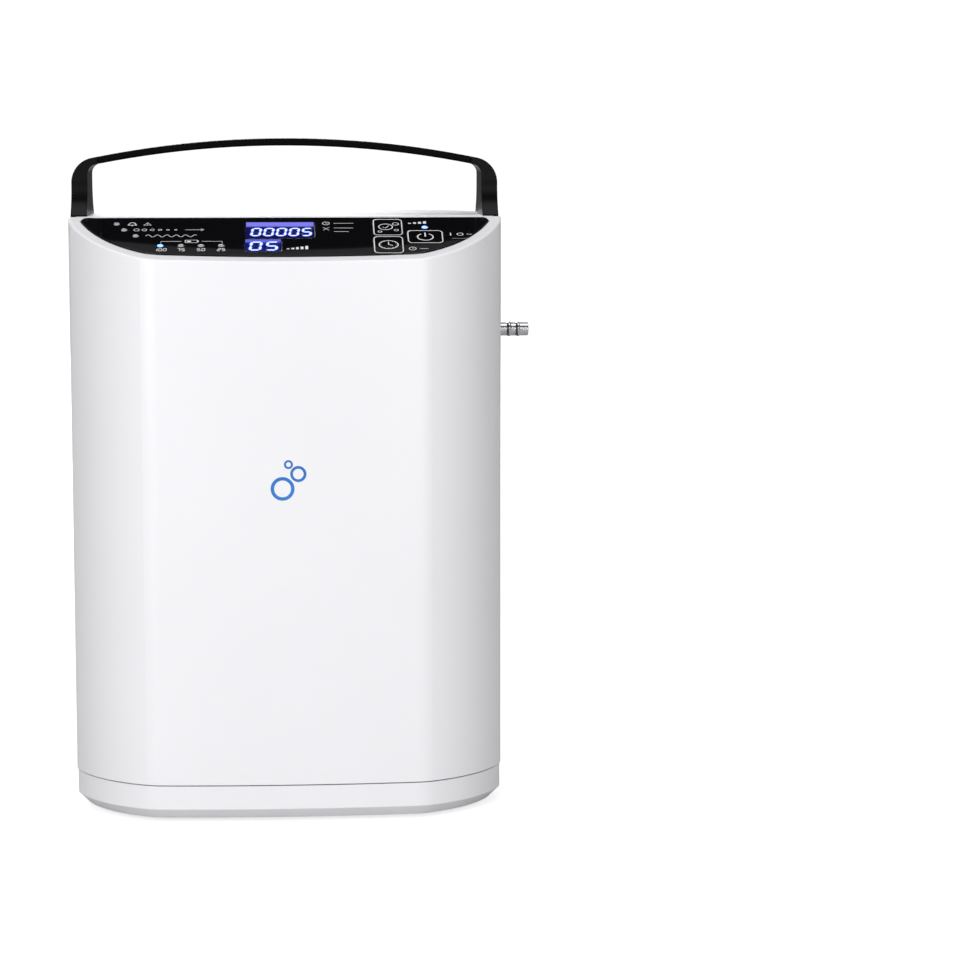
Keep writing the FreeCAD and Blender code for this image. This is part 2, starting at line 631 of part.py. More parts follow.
for k, (x, v, wide, tall) in enumerate(KEYS.values()):
    base = slope_box(f"Switch{k}", (x + wide / 2 - 3, v + tall / 2 - 3, "-board_depth"), (6, 6, 3))
    well = slope_rod(f"Switch_well{k}", 1.9, 3, (x + wide / 2, v + tall / 2, "-board_depth + 1.2"))
    switches.append(cut(f"Switch_body{k}", base, well))
part(group("Switches", switches), "dome_switches")
board_shape = padded("Display_board", [
    ("-78", "-20"), ("-60", "-37"), ("60", "-37"), ("78", "-20"), ("78", "-4"), ("-78", "-4")], "board_thick")
part(on_slope(board_shape, 0, 0, "-board_depth - board_thick"), "display_board")
buzzer_can = slope_rod("Buzzer_can", 6, 5, (24, -20, "-board_depth - board_thick - 5"))
buzzer_hole = slope_rod("Buzzer_hole", 1, 2, (24, -20, "-board_depth - board_thick - 6"))
part(cut("Buzzer", buzzer_can, buzzer_hole), "buzzer")

# ---------------------------------------------------------------- oxygen outlet and DC jack
nipple = turned("Nipple", [
    ("nipple_bore", "2.7"), ("2", "2.7"), ("2", "8"), ("thread_radius - 0.4", "8"), ("thread_radius", "8.4"),
    ("thread_radius", "17.95"), ("4.6", "17.95"), ("4.6", "19.45"), ("nipple_radius", "19.45"),
    ("nipple_radius", "23.4"), ("barb_radius", "24.4"), ("barb_radius", "24.9"), ("nipple_radius", "25.4"),
    ("nipple_radius", "27.4"), ("barb_radius", "28.4"), ("barb_radius", "28.9"), ("nipple_radius", "29.3"),
    ("nipple_radius", "32.9"), ("nipple_radius - 0.3", "33.2"), ("nipple_bore", "33.2")])
at(nipple, 76, 0, "outlet_height", rotation=ALONG["x"])
hex_flange = hexagon("Outlet_hexagon", "hex_flats", 1.5, (PANEL_X, 0, "outlet_height"))
hex_round = DOC.addObject("Part::Cone", "Outlet_hex_round")
bind(hex_round, Radius1="hex_flats / 2 + 1.4", Radius2="hex_flats / 2 + 0.1", Height="1.5")
at(hex_round, PANEL_X, 0, "outlet_height", rotation=ALONG["x"])
hex_part = cut("Outlet_hex_ring", common("Outlet_hex_soft", hex_flange, hex_round),
               rod("Outlet_hex_bore", 3, 4, (92, 0, "outlet_height"), "x"))
part(fuse("Outlet", nipple, hex_part), "oxygen_outlet")
seal_ring = rod("Seal_ring", 6.5, 1, (f"{PAD_X} - 1", 0, "outlet_height"), "x")
part(cut("Seal", seal_ring, outlet_hole), "outlet_seal")
outlet_nut = hexagon("Outlet_nut_hex", 12, 4, (f"{PAD_X} - 5", 0, "outlet_height"))
part(cut("Outlet_nut", outlet_nut, rod("Nut_bore", "thread_radius + 0.2", 30, (76, 0, "outlet_height"), "x")),
     "outlet_nut")
jack_body = turned("Jack_body", [
    ("1.4", "0"), ("jack_thread", "0"), ("jack_thread", "2"), ("7.2", "2"), ("7.2", "4.45"),
    ("jack_thread", "4.45"), ("jack_thread", "9.6"), ("jack_mouth + 0.3", "9.6"), ("jack_mouth + 0.3", "3"),
    ("1.4", "3")])
part(at(jack_body, f"{PAD_X} - 4.45", 0, "jack_height", rotation=ALONG["x"]), "dc_jack_body")
sleeve = turned("Jack_sleeve", [
    ("jack_mouth - 0.1", "0"), ("jack_mouth + 0.3", "0"),
    ("jack_mouth + 0.3", "6.9"), ("jack_mouth - 0.1", "6.9")])
part(at(sleeve, f"{PAD_X} - 1.45", 0, "jack_height", rotation=ALONG["x"]), "dc_jack_sleeve")
ring = turned("Jack_ring", [
    ("jack_thread + 0.2", "0"), ("jack_radius", "0"), ("jack_radius", "0.8"), ("jack_radius - 0.4", "1.2"),
    ("jack_thread + 0.5", "1.2"), ("jack_thread + 0.2", "0.9")])
part(at(ring, PANEL_X, 0, "jack_height", rotation=ALONG["x"]), "dc_jack_ring")
pin_rod = turned("Jack_pin", [
    ("0", "0"), ("1.9", "0"), ("1.9", "1"), ("jack_pin_radius", "1"), ("jack_pin_radius", "11.6"),
    ("0.6", "12"), ("0", "12")])
part(at(pin_rod, f"{PAD_X} - 5.45", 0, "jack_height", rotation=ALONG["x"]), "dc_jack_pin")

# ---------------------------------------------------------------- battery
case_block = box("Case_block", ("-79", "-35", 4.5), (158, 70, 21.3))
case_room = box("Case_room", ("-78", "-cell_length / 2", 6), (156, "cell_length", 30))
cells = []
for k in range(8):
    x = f"(cell_pitch * {k - 3.5})"
    barrel = rod(f"Cell{k}", "cell_radius", "cell_length", (x, "-cell_length / 2", "cell_row"), "y")
    crimp = rod(f"Cell_groove{k}", "cell_radius + 2", 1.2, (x, "cell_length / 2 - 5", "cell_row"), "y")
    core = rod(f"Cell_core{k}", "cell_radius - 0.6", 2, (x, "cell_length / 2 - 5.4", "cell_row"), "y")
    cells.append(cut(f"Cell_solid{k}", barrel, cut(f"Cell_crimp{k}", crimp, core)))
part(cut("Battery_case", case_block, case_room), "battery_case")
part(group("Cells", cells), "battery_cells")
lid = box("Lid_plate", ("-79", "-35", 25.8), (158, 70, 1.4))
lid_port = box("Lid_port", (-12, 20, 27), (24, 10, 6))
lid_slot = box("Lid_slot", (-10, 22, 28), (20, 6, 6))
part(cut("Battery_lid", fuse("Lid_body", lid, lid_port), lid_slot), "battery_lid")

# ---------------------------------------------------------------- decks, spacers and screws
DECK = [
    ("-62", "-54"), ("62", "-54"), ("83", "-24"), ("83", "24"),
    ("62", "54"), ("-62", "54"), ("-83", "24"), ("-83", "-24"),
]
SPACER_SPOTS = corners("spacer_x", "spacer_y")
low_plate = at(padded("Low_plate", DECK, "deck_thick"), 0, 0, "deck_low")
high_plate = at(padded("High_plate", DECK, "deck_thick"), 0, 0, "deck_high")
low_tools = [rod(f"Low_hole{k}", 1.8, 6, (x, y, "deck_low - 2")) for k, (x, y) in enumerate(SPACER_SPOTS)]
high_tools = [rod(f"High_hole{k}", 1.8, 6, (x, y, "deck_high - 2")) for k, (x, y) in enumerate(SPACER_SPOTS)]
high_tools += [rod(f"Hose_hole{k}", 5, 6, (x, -14, "deck_high - 2")) for k, x in enumerate((-48, 48))]
high_tools.append(box("Air_hole", (-76, -12, "deck_high - 2"), (8, 24, 6)))
low_tools.append(box("Cable_hole", (-14, 24, "deck_low - 2"), (28, 8, 6)))
part(cut("Lower_deck", low_plate, *low_tools), "lower_deck")
part(cut("Upper_deck", high_plate, *high_tools), "upper_deck")
spacers, deck_screws = [], []
for k, (x, y) in enumerate(SPACER_SPOTS):
    spacers.append(rod(f"Low_spacer{k}", 4, "deck_low - 4.5", (x, y, 4.5)))
    tall = rod(f"High_spacer{k}", 4, "deck_high - deck_low - deck_thick", (x, y, "deck_low + deck_thick"))
    bore = rod(f"Spacer_bore{k}", 1.5, 20, (x, y, "deck_high - 12"))
    spacers.append(cut(f"High_spacer_bored{k}", tall, bore))
    head = rod(f"Deck_screw_head{k}", 3, 2, (x, y, "deck_high + deck_thick"))
    shank = rod(f"Deck_screw_shank{k}", 1.2, 10, (x, y, "deck_high + deck_thick - 9.5"))
    drive = hexagon(f"Deck_drive{k}", 2.4, 2, (0, 0, 0))
    at(drive, x, y, "deck_high + deck_thick + 0.8", rotation=Rotation())
    deck_screws.append(cut(f"Deck_screw{k}", fuse(f"Deck_screw_body{k}", head, shank), drive))
part(group("Spacers", spacers), "deck_spacers")
part(group("Deck_screws", deck_screws), "deck_screws")

# ---------------------------------------------------------------- compressor
MOUNT_SPOTS = ((-24, -18), (24, -18), (-24, 6), (24, 6))
case_size = ("2 * case_half", 36, "2 * case_half")
case = box("Crank_block", ("-case_half", -22, "crank_height - case_half"), case_size)
plate = box("Crank_plate", (-30, -24, "crank_height - case_half - 4"), (60, 36, 4))
case_body = fuse("Crank_body", case, plate)
crank_room = rod("Crank_room", 16, 30, (0, -22, "crank_height"), "y")
crank_bearing = rod("Crank_bearing", "shaft_radius + 0.3", 60, (0, -20, "crank_height"), "y")
bore_along = rod("Bore_along", "cylinder_bore", 60, (-30, "crank_y", "crank_height"), "x")
mount_holes = [rod(f"Mount_hole{k}", 2.3, 6, (x, y, 60)) for k, (x, y) in enumerate(MOUNT_SPOTS)]
part(cut("Crankcase", case_body, crank_room, crank_bearing, bore_along, *mount_holes), "crankcase")
isolators = []
GROMMET = [("0", "0"), ("5", "0"), ("4", "4.5"), ("5", "9"), ("2", "9"), ("2", "14"), ("0", "14")]
for k, (x, y) in enumerate(MOUNT_SPOTS):
    grommet = turned(f"Isolator{k}", GROMMET)
    isolators.append(at(grommet, x, y, "deck_low + deck_thick"))
part(group("Isolators", isolators), "compressor_isolators")
cylinders, heads, pistons = [], [], []
for k, (side, rod_y) in enumerate(((1, -8), (-1, 0))):
    turn = Rotation(Y_AXIS, 90 * side)
    fins = [("cylinder_bore", "0"), ("cylinder_radius", "0")]
    for j in range(4):
        fins += [("cylinder_radius", f"{3 + 5 * j}"), ("cylinder_radius + 2.5", f"{3 + 5 * j}"),
                 ("cylinder_radius + 2.5", f"{5 + 5 * j}"), ("cylinder_radius", f"{5 + 5 * j}")]
    fins += [("cylinder_radius", "22"), ("cylinder_bore", "22")]
    barrel = turned(f"Cylinder{k}", fins)
    cylinders.append(at(barrel, f"{side} * case_half", "crank_y", "crank_height", rotation=turn))
    low_x = "head_start" if side > 0 else "-head_start - head_thick"
    block = box(f"Head_block{k}", (low_x, -22, "crank_height - 18"), ("head_thick", 36, 36))
    spout = rod(f"Head_spout{k}", 2, 8, (48 * side, -14, "crank_height + 18"))
    fin_cuts = [box(f"Fin_cut{k}_{j}", (low_x, -18 + 6 * j, 60), ("head_thick", 2, 10)) for j in range(6)]
    spout_bore = rod(f"Head_bore{k}", 1.1, 20, (48 * side, -14, "crank_height + 10"))
    heads.append(cut(f"Head{k}", fuse(f"Head_body{k}", block, spout), spout_bore, *fin_cuts))
    crown_x, link_x = (32, 9.5) if side > 0 else (-37, -33)
    crown = rod(f"Piston_crown{k}", "cylinder_bore - 0.4", 5, (crown_x, "crank_y", "crank_height"), "x")
    link = box(f"Piston_link{k}", (link_x, rod_y - 2, "crank_height - 4"), (23.5, 4, 8))
    eye = rod(f"Piston_eye{k}", 12.5, 4, (0, rod_y - 2, "crank_height"), "y")
    eye_bore = rod(f"Piston_bore{k}", 9.6, 4, (0, rod_y - 2, "crank_height"), "y")
    pistons.append(cut(f"Piston{k}", fuse(f"Piston_body{k}", crown, link, eye), eye_bore))
part(group("Cylinders", cylinders), "cylinders")
part(group("Heads", heads), "cylinder_heads")
part(group("Pistons", pistons), "pistons")
shaft = rod("Shaft", "shaft_radius", 66, (0, -14, "crank_height"), "y")
cam = rod("Shaft_cam", "eccentric_radius", 13, (0, -10.5, "crank_height + throw"), "y")
armature = rod("Armature", 14, 26, (0, 20, "crank_height"), "y")
part(fuse("Crankshaft", shaft, cam, armature), "crankshaft")
can = rod("Motor_can", "motor_radius", "motor_length", (0, "motor_front", "crank_height"), "y")
can_room = rod("Motor_room", 16, 32, (0, 17, "crank_height"), "y")
can_bore = rod("Motor_bore", "shaft_radius + 0.3", 60, (0, 10, "crank_height"), "y")
can_slots = [box(f"Can_slot{k}", (x, 46, 80), (4, 2.5, 10)) for k, x in enumerate((-21.5, 17.5))]
part(cut("Motor", can, can_room, can_bore, *can_slots), "compressor_motor")

# ---------------------------------------------------------------- cooling fan and filters
frame_size = ("fan_thick", "fan_size", "fan_size")
frame = box("Fan_block", ("fan_inner_x", "-fan_size / 2", "fan_height - fan_size / 2"), frame_size)
fan_bore = rod("Fan_opening", "fan_bore", "fan_thick + 2", ("fan_inner_x - 1", 0, "fan_height"), "x")
hub_plate = rod("Fan_hub_plate", "fan_hub", 2, ("fan_inner_x", 0, "fan_height"), "x")
struts = [
    box("Fan_strut_flat", ("fan_inner_x", "-fan_size / 2 + 1", "fan_height - 2"), (2, "fan_size - 2", 4)),
    box("Fan_strut_tall", ("fan_inner_x", -2, "fan_height - fan_size / 2 + 1"), (2, 4, "fan_size - 2")),
]
legs = [box(f"Fan_leg{k}", ("fan_inner_x + 2", y, "deck_low + deck_thick"), (10, 6, 25))
        for k, y in enumerate((-28, 22))]
axle = rod("Fan_axle", 1.5, 8, ("fan_inner_x + 1", 0, "fan_height"), "x")
part(fuse("Fan_frame", cut("Fan_ring", frame, fan_bore), hub_plate, *struts, *legs, axle), "fan_frame")
hub = turned("Fan_hub", [
    ("1.9", "0"), ("fan_hub", "0"), ("fan_hub", "9.6"), ("fan_hub - 1", "10.4"), ("0", "10.4"),
    ("0", "8.4"), ("1.9", "8.4")])
at(hub, "fan_inner_x + 3", 0, "fan_height", rotation=ALONG["x"])
blades = []
for k in range(7):
    blade = DOC.addObject("Part::Box", f"Fan_blade{k}")
    bind(blade, Length=1.2, Width=11, Height="blade_tip - fan_hub + 1")
    spin = Rotation(X_AXIS, 360 * k / 7)
    tilt = Rotation(Z_AXIS, 45)
    reach = spin.multVec(Vector(0, 0, size("fan_hub") - 1) + tilt.multVec(Vector(-0.6, -5.5, 0)))
    middle = Vector(size("fan_inner_x") + 8.2, 0, size("fan_height"))
    blade.Placement = Placement(middle + reach, spin.multiply(tilt))
    blades.append(blade)
part(fuse("Fan_rotor", hub, *blades), "fan_rotor")


def foam_pads(name, low_x):
    """Two pads of foam behind the windows of one side."""
    return group(name, [box(f"{name}_{tag}", (low_x, -20, f"window_{tag}_low - 1"),
                            (5, 40, f"window_{tag}_high - window_{tag}_low + 2")) for tag in ("a", "b")])


part(foam_pads("Exhaust_foam", f"{PAD_X} - 5"), "exhaust_foam")
part(foam_pads("Intake_foam", f"-({PAD_X})"), "intake_foam")
canister = rod("Filter_can", 12, 40, ("filter_x", "filter_y", "deck_high + deck_thick"))
grooves = [cut(f"Filter_groove{k}", rod(f"Filter_cut{k}", 14, 1.5, ("filter_x", "filter_y", 146 + 6 * k)),
               rod(f"Filter_core{k}", 11, 1.5, ("filter_x", "filter_y", 146 + 6 * k))) for k in range(5)]
filter_port = rod("Filter_port", 3, 6, ("filter_x", "filter_y", 180))
part(cut("Intake_filter", fuse("Filter_body", canister, filter_port), *grooves,
         rod("Filter_bore", 2, 44, ("filter_x", "filter_y", 144))), "intake_filter")

# ---------------------------------------------------------------- sieve columns and product tank
tubes, caps, media = [], [], []
for k, x in enumerate((-46, 0)):
    tube = rod(f"Sieve{k}", "sieve_radius", "sieve_high - sieve_low", (x, "sieve_y", "sieve_low"))
    tube_bore = rod(f"Sieve_bore{k}", "sieve_radius - sieve_wall", 90, (x, "sieve_y", 140))
    tubes.append(cut(f"Sieve_tube{k}", tube, tube_bore))
    bed_foot = (x, "sieve_y", "sieve_low")
    media.append(rod(f"Media{k}", "sieve_radius - sieve_wall - 0.3", "sieve_high - sieve_low", bed_foot))
    for end, low in enumerate((140, 218)):
        cap = rod(f"Cap{k}_{end}", "cap_radius", 10, (x, "sieve_y", low))
        seat = rod(f"Cap_seat{k}_{end}", "sieve_radius + 0.3", 4, (x, "sieve_y", 146 if end == 0 else 218))
        port_spot, port_axis = ((x, -6, 143), "y") if end == 0 else ((x, "sieve_y", 214), "z")
        port = rod(f"Cap_port{k}_{end}", 1.1, 30, port_spot, port_axis)
        caps.append(cut(f"Cap_solid{k}_{end}", cap, seat, port))
part(group("Sieve_tubes", tubes), "sieve_tubes")
part(group("Sieve_caps", caps), "sieve_caps")
part(group("Sieve_media", media), "sieve_media")
tank = turned("Tank", [
    ("0", "0"), ("tank_radius", "0"), ("tank_radius", "80"), ("tank_radius - 4", "86"), ("2", "86"),
    ("2", "84"), ("tank_radius - 5", "84"), ("tank_radius - 2", "79"), ("tank_radius - 2", "2"), ("0", "2")])
at(tank, "tank_x", "tank_y", "deck_high + deck_thick")
tank_spout = rod("Tank_spout", 2, 4, ("tank_x + tank_radius - 1.5", "tank_y", "outlet_height"), "x")
tank_bore = rod("Tank_bore", 1.1, 20, ("tank_x + tank_radius - 6", "tank_y", "outlet_height"), "x")
part(cut("Tank_solid", fuse("Tank_body", tank, tank_spout), tank_bore), "product_tank")
sensor_block = box("Sensor_block", ("tank_x - 8", "tank_y - 6", 226), (16, 12, 10))
part(cut("Sensor", sensor_block, rod("Sensor_bore", 1.1, 12, ("tank_x", "tank_y", 225))), "oxygen_sensor")

# ---------------------------------------------------------------- valves, hoses and muffler
block = box("Manifold_block", (-26, -31, "deck_high + deck_thick"), (50, 22, 30))
manifold_tools = [rod(f"Manifold_port{k}", 1.2, 14, (x, -14, 161), "x") for k, x in enumerate((-28, 12))]
manifold_tools += [rod("Manifold_feed", 1.2, 14, (0, -20, 143), "y")]
manifold_tools += [rod(f"Valve_seat{k}", "plunger_bore + 0.2", 6, (x, "manifold_y", 164))
                   for k, x in enumerate((-14, 12))]
part(cut("Manifold", block, *manifold_tools), "valve_manifold")
coils = []
for k, (x, name) in enumerate(((-14, "left"), (12, "right"))):
    coil = rod(f"Coil{k}", "coil_radius", 24, (x, "manifold_y", 170))
    coil_cap = box(f"Coil_cap{k}", (x - 9, "manifold_y - 9", 194), (18, 18, 3))
    coil_bore = rod(f"Coil_bore{k}", "plunger_bore + 0.2", 22, (x, "manifold_y", 169))
    coils.append(cut(f"Coil_solid{k}", fuse(f"Coil_body{k}", coil, coil_cap), coil_bore))
    plunger = rod(f"Plunger{k}", "plunger_radius", 20, (x, "manifold_y", 164))
    neck = cut(f"Plunger_neck{k}", rod(f"Plunger_ring{k}", 4, 2, (x, "manifold_y", 168)),
               rod(f"Plunger_core{k}", 2.2, 2, (x, "manifold_y", 168)))
    part(cut(f"Plunger_solid{k}", plunger, neck), f"valve_plunger_{name}")
part(group("Coils", coils), "solenoid_coils")
hoses = []
for k, side in enumerate((1, -1)):
    reach = 48 - 10 - (24 if side > 0 else 26)
    hoses.append(tube_along(f"Feed_hose{k}", (48 * side, -14, 105), (0, 0, 1),
                            [(46, (-side, 0, 0), 10), (reach, None, 0)], 3.2, 2.4))
part(group("Feed_hoses", hoses), "feed_hoses")
part(tube_along("Outlet_hose", (62.2, 18, 211), (1, 0, 0),
                [(0.5, (0, -1, 0), 8), (2, (1, 0, 0), 8), (5, None, 0)], 3.2, 2.4), "outlet_hose")
muffler = rod("Muffler_can", 10, 40, (28, -32, "deck_high + deck_thick + 12"), "x")
cradles = [box(f"Muffler_cradle{k}", (x, -38, "deck_high + deck_thick"), (4, 12, 6))
           for k, x in enumerate((32, 60))]
muffler_bore = rod("Muffler_bore", 2, 42, (30, -32, "deck_high + deck_thick + 12"), "x")
part(cut("Muffler", fuse("Muffler_body", muffler, *cradles), muffler_bore), "exhaust_muffler")

# ---------------------------------------------------------------- control board
board = box("Board", (-50, 46, "deck_high + deck_thick"), (100, "board_thick", 96))
BOARD_SPOTS = ((-46, 146), (46, 146), (-46, 230), (46, 230))
board_holes = [rod(f"Board_hole{k}", 1.6, 6, (x, 44, z), "y") for k, (x, z) in enumerate(BOARD_SPOTS)]
part(cut("Control_board", board, *board_holes), "control_board")
fixtures = []
for k, x in enumerate((-36, -12)):
    sink = box(f"Sink{k}", (x, 47.6, 196), (20, 10, 30))
    fins = [box(f"Sink_gap{k}_{j}", (x + 2 + 4 * j, 50.6, 195), (2, 8, 32)) for j in range(4)]
    fixtures.append(cut(f"Sink_solid{k}", sink, *fins))
for k, (x, z) in enumerate(((22, 206), (36, 206), (29, 220))):
    fixtures.append(rod(f"Capacitor{k}", 4.5, 11, (x, 47.6, z), "y"))
CHIPS = (   # left edge, lowest edge, width, height, depth
    (-20, 160, 14, 14, 2),
    (8, 164, 10, 10, 2),
    (28, 150, 16, 8, 7),
    (-44, 150, 16, 8, 7),
)
for k, (x, z, wide, tall, deep) in enumerate(CHIPS):
    fixtures.append(box(f"Chip{k}", (x, 47.6, z), (wide, deep, tall)))
part(group("Board_parts", fixtures), "board_parts")

# ---------------------------------------------------------------- check and export
DOC.recompute()
for item in DOC.Objects:
    if "Invalid" in item.State or "Error" in item.State:
        raise RuntimeError(f"{item.Name} did not recompute: {item.State}")
for item in PARTS:
    if item.Shape.isNull() or not item.Shape.isValid():
        raise RuntimeError(f"{item.Label} has no valid shape")
    item.Shape.exportStep(f"parts/{item.Label}.step")
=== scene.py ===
"""Portable oxygen concentrator: finishes, panel print, displays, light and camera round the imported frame."""
import math

import bpy
from mathutils import Matrix, Vector


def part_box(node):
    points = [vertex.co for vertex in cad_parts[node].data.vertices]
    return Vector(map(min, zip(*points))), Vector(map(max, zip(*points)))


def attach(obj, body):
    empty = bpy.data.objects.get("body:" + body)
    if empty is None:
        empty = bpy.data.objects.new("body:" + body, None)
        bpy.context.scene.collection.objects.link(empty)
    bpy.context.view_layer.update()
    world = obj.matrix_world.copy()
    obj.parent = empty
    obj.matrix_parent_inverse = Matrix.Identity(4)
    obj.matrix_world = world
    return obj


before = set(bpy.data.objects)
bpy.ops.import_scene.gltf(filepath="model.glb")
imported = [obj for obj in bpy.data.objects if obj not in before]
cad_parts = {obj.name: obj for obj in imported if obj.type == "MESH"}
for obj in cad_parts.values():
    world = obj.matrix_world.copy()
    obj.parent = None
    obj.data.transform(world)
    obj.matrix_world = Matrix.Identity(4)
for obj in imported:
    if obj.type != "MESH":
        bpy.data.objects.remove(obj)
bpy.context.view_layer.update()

MM = 0.001
ENCLOSURE = "enclosure"


# ---------------------------------------------------------------- materials
def new_material(name):
    """An empty node material with a Principled shader: (material, node tree, shader)."""
    material = bpy.data.materials.new(name)
    material.use_nodes = True
    tree = material.node_tree
    shader = next(n for n in tree.nodes if n.type == "BSDF_PRINCIPLED")
    return material, tree, shader


def add(tree, kind, **values):
    """A node with its input values or properties set by name."""
    node = tree.nodes.new(kind)
    for key, value in values.items():
        if key in node.inputs:
            node.inputs[key].default_value = value
        else:
            setattr(node, key, value)
    return node


def object_coordinates(tree, stretch=(1, 1, 1)):
    """The piece's own coordinates in metres, stretched along an axis for brushed or rolled finishes."""
    place = add(tree, "ShaderNodeTexCoord")
    mapping = add(tree, "ShaderNodeMapping")
    mapping.inputs["Scale"].default_value = stretch
    tree.links.new(place.outputs["Object"], mapping.inputs["Vector"])
    return mapping.outputs["Vector"]


def blended(tree, factor, low, high):
    """A colour between two, by a factor socket."""
    ramp = add(tree, "ShaderNodeValToRGB")
    ramp.color_ramp.elements[0].position = 0.3
    ramp.color_ramp.elements[1].position = 0.7
    ramp.color_ramp.elements[0].color = (*low, 1)
    ramp.color_ramp.elements[1].color = (*high, 1)
    tree.links.new(factor, ramp.inputs["Fac"])
    return ramp.outputs["Color"]


def ranged(tree, factor, low, high):
    """A number between two, by a factor socket."""
    spread = add(tree, "ShaderNodeMapRange")
    spread.inputs["To Min"].default_value = low
    spread.inputs["To Max"].default_value = high
    tree.links.new(factor, spread.inputs["Value"])
    return spread.outputs["Result"]


def moulded(name, colour, rough, grain=1800, depth=0.02, tone=0.04, metal=0.0, coat=0.0, stretch=(1, 1, 1),
            pattern="noise", edge=0.0, gloss=0.5):
    """A moulded or machined finish: slow tone drift, fine grain in the bump, and uneven gloss."""
    material, tree, shader = new_material(name)
    where = object_coordinates(tree, stretch)
    slow = add(tree, "ShaderNodeTexNoise", Scale=14.0, Detail=3.0)
    tree.links.new(where, slow.inputs["Vector"])
    if pattern == "noise":
        fine = add(tree, "ShaderNodeTexNoise", Scale=float(grain), Detail=4.0)
        height = fine.outputs["Fac"]
    else:
        fine = add(tree, "ShaderNodeTexVoronoi", Scale=float(grain))
        height = fine.outputs["Distance"]
    tree.links.new(where, fine.inputs["Vector"])
    low = tuple(c * (1 - tone) for c in colour)
    high = tuple(min(1.0, c * (1 + tone)) for c in colour)
    tree.links.new(blended(tree, slow.outputs["Fac"], low, high), shader.inputs["Base Color"])
    uneven = ranged(tree, fine.outputs[0], rough * 0.88, min(1.0, rough * 1.12))
    tree.links.new(uneven, shader.inputs["Roughness"])
    bump = add(tree, "ShaderNodeBump", Strength=depth, Distance=0.0004)
    tree.links.new(height, bump.inputs["Height"])
    if edge:
        rounding = add(tree, "ShaderNodeBevel", Radius=edge, samples=4)
        tree.links.new(rounding.outputs["Normal"], bump.inputs["Normal"])
    tree.links.new(bump.outputs["Normal"], shader.inputs["Normal"])
    shader.inputs["Metallic"].default_value = metal
    shader.inputs["Coat Weight"].default_value = coat
    shader.inputs["Coat Roughness"].default_value = 0.04
    shader.inputs["Specular IOR Level"].default_value = gloss
    return material


def glowing(name, colour, strength, falloff=0.0):
    """A lit surface; with a falloff its glow drifts unevenly, as light under a lens does."""
    material, tree, shader = new_material(name)
    where = object_coordinates(tree)
    slow = add(tree, "ShaderNodeTexNoise", Scale=300.0, Detail=1.0)
    tree.links.new(where, slow.inputs["Vector"])
    dim = tuple(c * (1 - falloff) for c in colour)
    tree.links.new(blended(tree, slow.outputs["Fac"], dim, colour), shader.inputs["Emission Color"])
    shader.inputs["Emission Strength"].default_value = strength
    shader.inputs["Base Color"].default_value = (0.02, 0.02, 0.03, 1)
    shader.inputs["Roughness"].default_value = 0.3
    return material


WHITE = (0.80, 0.80, 0.825)
FINISHES = {
    "white_shell": moulded("white_shell", WHITE, 0.34, grain=2600, depth=0.012, tone=0.008, edge=0.0005),
    "black_texture": moulded("black_texture", (0.0018, 0.0018, 0.0022), 0.3, grain=2200, depth=0.06, tone=0.2,
                             edge=0.0005, gloss=0.1),
    "black_grip": moulded("black_grip", (0.0012, 0.0012, 0.0016), 0.3, grain=2400, depth=0.05, tone=0.2,
                          edge=0.0006, gloss=0.05),
    "rubber": moulded("rubber", (0.02, 0.02, 0.021), 0.72, grain=1500, depth=0.12, tone=0.15),
    "gasket": moulded("gasket", (0.012, 0.012, 0.013), 0.8, grain=1500, depth=0.1, tone=0.15),
    "overlay": moulded("overlay", (0.0035, 0.0035, 0.0045), 0.05, grain=900, depth=0.0015, tone=0.1,
                       coat=0.3, edge=0.0003),
    "lens": moulded("lens", (0.006, 0.006, 0.014), 0.06, grain=900, depth=0.001, tone=0.1, coat=1.0),
    "nickel": moulded("nickel", (0.66, 0.66, 0.68), 0.2, grain=1600, depth=0.02, tone=0.06, metal=1.0,
                      stretch=(1, 8, 8), edge=0.0003),
    "dark_plastic": moulded("dark_plastic", (0.03, 0.03, 0.032), 0.5, grain=1800, depth=0.06, tone=0.12,
                            edge=0.0003),
    "jack_face": moulded("jack_face", (0.05, 0.05, 0.055), 0.4, grain=1800, depth=0.04, tone=0.1),
    "steel": moulded("steel", (0.5, 0.5, 0.52), 0.3, grain=900, depth=0.05, tone=0.08, metal=1.0,
                     stretch=(1, 1, 14)),
    "aluminium": moulded("aluminium", (0.72, 0.72, 0.74), 0.36, grain=700, depth=0.05, tone=0.06, metal=1.0,
                         stretch=(12, 1, 1), edge=0.0003),
    "cast": moulded("cast", (0.55, 0.55, 0.57), 0.5, grain=900, depth=0.25, tone=0.08, metal=1.0,
                    edge=0.0004),
    "foam": moulded("foam", (0.008, 0.008, 0.009), 0.95, grain=900, depth=1.0, tone=0.3, pattern="cells"),
    "beads": moulded("beads", (0.7, 0.62, 0.46), 0.8, grain=700, depth=1.0, tone=0.12, pattern="cells"),
    "sleeve": moulded("sleeve", (0.05, 0.32, 0.30), 0.3, grain=400, depth=0.03, tone=0.05, coat=0.4),
    "battery_case": moulded("battery_case", (0.05, 0.055, 0.06), 0.45, grain=1600, depth=0.05, tone=0.1,
                            edge=0.0003),
    "board": moulded("board", (0.015, 0.13, 0.07), 0.35, grain=260, depth=0.08, tone=0.3,
                     pattern="cells", coat=0.3),
    "silicone": moulded("silicone", (0.72, 0.73, 0.74), 0.25, grain=800, depth=0.03, tone=0.04, coat=0.3),
    "lamp_off": moulded("lamp_off", (0.34, 0.34, 0.36), 0.25, grain=900, depth=0.02, tone=0.08, coat=0.6),
}
